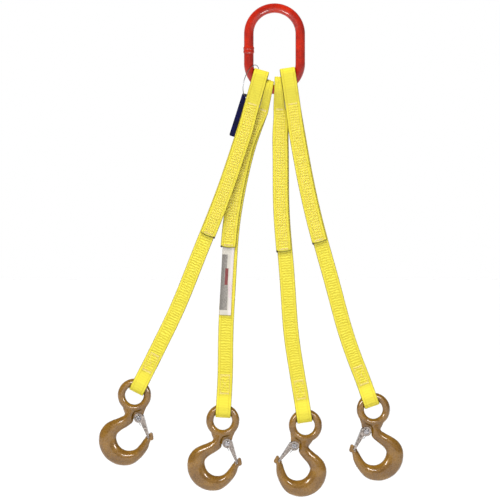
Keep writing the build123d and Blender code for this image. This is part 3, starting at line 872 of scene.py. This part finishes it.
def build_link():
    """The oblong link: two half rounds and two straight sides, welded in its left side."""
    turn = np.linspace(0, math.pi, 120)
    bend = LINK_BEND - LINK_COAT
    top = [(bend * math.cos(a), 0.0, LINK_TOP_Z + LINK_BEND * math.sin(a)) for a in turn]
    sides = np.linspace(LINK_TOP_Z, LINK_LOW_Z, 90)[1:-1]
    left = [(-bend, 0.0, z) for z in sides]
    low = [(bend * math.cos(a), 0.0, LINK_LOW_Z - LINK_BEND * math.sin(a)) for a in turn[::-1]]
    right = [(bend, 0.0, z) for z in sides[::-1]]
    middles = np.array(top + left + low + right)
    gap = np.where(middles[:, 0] < 0, np.abs(middles[:, 2] - WELD_Z), 1.0)
    bead = 1.1 * MM * (smoothstep(-gap, -5.8 * MM, -4.4 * MM) - 0.45 * smoothstep(-gap, -1.6 * MM, 0.0))
    mesh = joined("master_link_bar", [swept(middles, BAR + LINK_COAT + bead, around=56)])
    obj = new_object("master_link_bar", mesh, LINK)
    outwards(obj)
    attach(obj, "master_link")
    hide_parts("master_link")


# The hook's oval sections from ring to nose: inner point, outer point and half depth, in millimetres.
NECK = (((10.0, -19.5), (-17.4, -19.5), 5.4), ((6.6, -25.0), (-15.2, -25.6), 5.8),
        ((2.9, -32.0), (-11.9, -33.2), 6.4),
        ((2.6, -43.5), (-20.0, -39.8), 7.0), ((-5.4, -52.6), (-31.5, -46.0), 8.0),
        ((-14.6, -59.8), (-42.3, -54.6), 8.6))
BOWL_CENTRE, BOWL_RADIUS = (0.0, -71.5), 21.3
BACK_CENTRE, BACK_RADIUS = (-7.7, -76.0), 42.0
BOWL = ((170, 9.0), (200, 9.2), (230, 9.2), (260, 9.0), (290, 8.5))
NOSE = (((21.2, -77.2), (33.2, -83.2), 6.8), ((24.6, -71.0), (34.4, -76.6), 6.2),
        ((27.0, -67.4), (35.6, -72.0), 5.7), ((27.8, -66.2), (37.6, -69.2), 5.3))
LUG_PLATE = ((1.0, -22.0), (22.2, -17.0), (20.0, -24.0), (19.2, -30.0), (11.0, -31.0), (2.0, -40.0))
LUG_HALF, LUG_RADIUS = 3.2, 6.2
LIP, LIP_HALF = ((36.8, -67.0, 3.6), (35.3, -61.2, 3.2)), 5.0
TOE, TOE_HALF = ((28.6, -68.0, 1.4), (28.2, -65.9, 1.3)), 4.4
FINENESS = 0.75
EASING = 3
SKIN = 0.32  # added all round, and lost again when the skin is eased


def on_circle(centre, radius, degrees):
    angle = math.radians(degrees)
    return centre[0] + radius * math.cos(angle), centre[1] + radius * math.sin(angle)


def hook_shank():
    """The forged shank, bowl and nose, through the oval sections, in millimetres."""
    bowl = [(on_circle(BOWL_CENTRE, BOWL_RADIUS, k), on_circle(BACK_CENTRE, BACK_RADIUS, k), half)
            for k, half in BOWL]
    rows = np.array([(*inner, *outer, half) for inner, outer, half in (*NECK, *bowl, *NOSE)])
    middle = (rows[:, :2] + rows[:, 2:4]) / 2
    marks = np.concatenate([[0], np.cumsum(np.linalg.norm(np.diff(middle, axis=0), axis=1))])
    at = np.linspace(0, marks[-1], 130)
    fine = through(rows, marks, at)
    middle, reach = (fine[:, :2] + fine[:, 2:4]) / 2, (fine[:, :2] - fine[:, 2:4]) / 2
    reach *= 1 + SKIN / np.linalg.norm(reach, axis=1, keepdims=True)
    angles = np.arange(48) * math.tau / 48
    cos, sin = np.cos(angles)[None, :], np.sin(angles)[None, :]
    x = middle[:, :1] + reach[:, :1] * cos
    z = middle[:, 1:] + reach[:, 1:] * cos
    y = (fine[:, 4:] + SKIN) * sin
    points = np.stack([x, y, z], -1).reshape(-1, 3)
    faces = [tuple(f) for f in grid_faces(130, 48)]
    faces += [tuple(range(48)), tuple(reversed(range(129 * 48, 130 * 48)))]
    return points, faces


def slab(outline, half):
    """An outline in the XZ plane, made thick by half each way."""
    n = len(outline)
    points = [(x, y, z) for y in (-half, half) for x, z in outline]
    faces = [tuple(range(n)), tuple(reversed(range(n, 2 * n)))]
    faces += [(i, i + n, (i + 1) % n + n, (i + 1) % n) for i in range(n)]
    return points, faces


def disc(centre, radius, count=40):
    return [(centre[0] + radius * math.cos(k), centre[1] + radius * math.sin(k))
            for k in np.arange(count) * math.tau / count]


def capsule(a, b):
    """The outline round two circles, each given as x, z and radius."""
    points = disc(a[:2], a[2], 28) + disc(b[:2], b[2], 28)
    work = bmesh.new()
    for x, z in points:
        work.verts.new((x, 0.0, z))
    found = bmesh.ops.convex_hull(work, input=work.verts)["geom"]
    kept = [tuple(v.co) for v in found if isinstance(v, bmesh.types.BMVert)]
    work.free()
    cx, cz = np.mean([(p[0], p[2]) for p in kept], axis=0)
    kept.sort(key=lambda p: math.atan2(p[2] - cz, p[0] - cx))
    return [(p[0], p[2]) for p in kept]


def hook_mesh():
    """The forging as one smooth skin over its overlapping volumes, in millimetres, opening towards +X."""
    turn = np.arange(120) * math.tau / 120
    ring = np.stack([np.cos(turn), np.zeros(120), np.sin(turn)], -1) * RING_BEND / MM
    parts = [swept(ring, np.full(120, RING_BAR / MM + SKIN)), hook_shank(), slab(LUG_PLATE, LUG_HALF),
             slab(disc(PIVOT, LUG_RADIUS), LUG_HALF), slab(capsule(*LIP), LIP_HALF),
             slab(capsule(*TOE), TOE_HALF)]
    obj = outwards(new_object("forging", joined("forging", parts)))
    skin = obj.modifiers.new("skin", "REMESH")
    skin.mode, skin.voxel_size = "VOXEL", FINENESS
    ease = obj.modifiers.new("ease", "SMOOTH")
    ease.factor, ease.iterations = 0.5, EASING
    return applied(obj)


def build_hook(number, forging):
    """The forging set in its leg's eye, mirrored where the hook opens to the left."""
    centre, _ = joint_at(f"hook_{number}_tilt")
    pivot, axis = joint_at(f"latch_{number}_open")
    hand = 1 if axis.y > 0 else -1
    drawn = math.atan2(PIVOT[1], PIVOT[0] * hand)
    turned = math.atan2(pivot.z - centre.z, pivot.x - centre.x)
    mesh = forging.copy()
    mesh.name = f"hook_{number}_forging"
    mesh.transform(Matrix.Diagonal((hand * MM, MM, MM, 1)))
    mesh.transform(Matrix.Translation(centre) @ Matrix.Rotation(drawn - turned, 4, "Y"))
    mesh.shade_smooth()
    obj = outwards(new_object(f"hook_{number}_forging", mesh, HOOK))
    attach(obj, f"hook_{number}")
    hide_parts(f"hook_{number}")


def build_wire_ring():
    """The split ring: a thin wire circle fitted to its CAD solid."""
    points = np.array([v.co for v in frame["nodes"]["wire_ring"].data.vertices])
    lowest, highest = (np.array(corner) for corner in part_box("wire_ring"))
    centre = (lowest + highest) / 2
    offset = points - centre
    wide, deep, normal = np.linalg.svd(offset, full_matrices=False)[2]
    wire = np.abs(offset @ normal).max()
    radius = np.linalg.norm(offset, axis=1).max() - wire
    turn = np.arange(160) * math.tau / 160
    ring = centre + radius * (np.cos(turn)[:, None] * wide + np.sin(turn)[:, None] * deep)
    out = (ring - centre) / radius
    angles = np.arange(14) * math.tau / 14
    skin = ring[:, None] + wire * (np.cos(angles)[None, :, None] * out[:, None]
                                   + np.sin(angles)[None, :, None] * normal)
    part = skin.reshape(-1, 3), grid_faces(160, 14, closed_rows=True)
    obj = outwards(new_object("wire_ring_loop", joined("wire_ring_loop", [part]), WIRE))
    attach(obj, "wire_ring")
    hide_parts("wire_ring")


def finish_node(node, material):
    """A CAD node that is shown as it is, with its finish."""
    data = frame["nodes"][node].data
    data.materials.clear()
    data.materials.append(material)


for leg in legs.values():
    build_strap(leg)
    build_sewing(leg)
    build_bead(leg)
build_label(legs[2])
build_link()
forging = hook_mesh()
for number in LEGS:
    build_hook(number, forging)
    finish_node(f"hook_{number}_latch", ZINC)
    finish_node(f"hook_{number}_latch_bolt", BOLT)
    finish_node(f"hook_{number}_latch_nut", BOLT)
    finish_node(f"hook_{number}_latch_spring", SPRING)
bpy.data.meshes.remove(forging)
build_wire_ring()
finish_node("tag", TAG)


# ---------------------------------------------------------------- floor, light, camera

FLOOR_Z = -0.9
VIEW_CENTRE = Vector((-0.0407, 0.0, -0.3938))
VIEW_DISTANCE = 3.2
VIEW_WIDTH = 0.83
SKY_LOW, SKY_HIGH = 0.34, 0.18


def build_floor():
    shader = Shader("floor", Roughness=0.9, Specular_IOR_Level=0.1)
    cloud = shader.noise(shader.place(), 3.0, 3.0)
    shader.feed(shader.surface.inputs["Base Color"],
                shader.mix(cloud, (0.83, 0.83, 0.83, 1.0), (0.87, 0.87, 0.87, 1.0)))
    shader.bump(shader.noise(shader.place(), 200.0, 3.0), 0.0002, 0.2)
    bpy.ops.mesh.primitive_plane_add(size=60.0, location=(0, 0, FLOOR_Z))
    floor = bpy.context.object
    floor.name = "floor"
    floor.data.materials.append(shader.material)


def build_world():
    """White behind the object, and a dimmer sky, darker overhead, for light and reflections."""
    world = bpy.data.worlds.new("studio")
    bpy.context.scene.world = world
    world.use_nodes = True
    tree = world.node_tree
    sky = tree.nodes["Background"]
    white = tree.nodes.new("ShaderNodeBackground")
    white.inputs["Color"].default_value = sky.inputs["Color"].default_value = (1.0, 1.0, 1.0, 1.0)
    split = tree.nodes.new("ShaderNodeSeparateXYZ")
    fade = tree.nodes.new("ShaderNodeMapRange")
    fade.interpolation_type = "SMOOTHSTEP"
    for name, value in (("From Min", 0.1), ("From Max", 0.7), ("To Min", SKY_LOW), ("To Max", SKY_HIGH)):
        fade.inputs[name].default_value = value
    tree.links.new(tree.nodes.new("ShaderNodeTexCoord").outputs["Generated"], split.inputs[0])
    tree.links.new(split.outputs["Z"], fade.inputs["Value"])
    tree.links.new(fade.outputs["Result"], sky.inputs["Strength"])
    choose = tree.nodes.new("ShaderNodeMixShader")
    tree.links.new(tree.nodes.new("ShaderNodeLightPath").outputs["Is Camera Ray"], choose.inputs[0])
    tree.links.new(sky.outputs[0], choose.inputs[1])
    tree.links.new(white.outputs[0], choose.inputs[2])
    tree.links.new(choose.outputs[0], tree.nodes["World Output"].inputs["Surface"])


def sunlight(name, direction, strength, spread):
    """A wide sun that leaves no highlights."""
    data = bpy.data.lights.new(name, "SUN")
    data.energy, data.angle = strength, math.radians(spread)
    light = bpy.data.objects.new(name, data)
    light.rotation_euler = Vector(direction).to_track_quat("-Z", "Y").to_euler()
    light.visible_glossy = False
    bpy.context.scene.collection.objects.link(light)


def area_light(name, place, target, size, power, gloss=False):
    """A soft light: one for highlights only, if gloss is set, and otherwise one that leaves none."""
    data = bpy.data.lights.new(name, "AREA")
    data.shape, data.size, data.energy = "DISK", size, power
    light = bpy.data.objects.new(name, data)
    light.location = place
    light.rotation_euler = (Vector(target) - Vector(place)).to_track_quat("-Z", "Y").to_euler()
    light.visible_camera = False
    light.visible_glossy, light.visible_diffuse = gloss, not gloss
    bpy.context.scene.collection.objects.link(light)


def build_camera():
    data = bpy.data.cameras.new("camera")
    data.sensor_width = 36.0
    data.lens = data.sensor_width * VIEW_DISTANCE / VIEW_WIDTH
    data.clip_end = 100.0
    camera = bpy.data.objects.new("camera", data)
    camera.location = VIEW_CENTRE - Vector((0, VIEW_DISTANCE, 0))
    camera.rotation_euler = (math.pi / 2, 0, 0)
    bpy.context.scene.collection.objects.link(camera)
    bpy.context.scene.camera = camera


build_floor()
build_world()
sunlight("overhead", (0.22, 0.36, -1.0), 3.55, 25.0)
area_light("key", (-1.3, -1.8, 0.9), (0, 0, -0.4), 0.5, 9.0)
area_light("front", (0.5, -3.0, 0.3), (0, 0, -0.4), 1.4, 6.0)
area_light("low_left", (-0.25, -0.5, -0.46), (0, 0, 0), 0.22, 2.4, gloss=True)
area_light("low_right", (0.25, -0.5, -0.46), (0, 0, 0), 0.22, 2.4, gloss=True)
build_camera()
bpy.context.scene.view_settings.view_transform = "Standard"
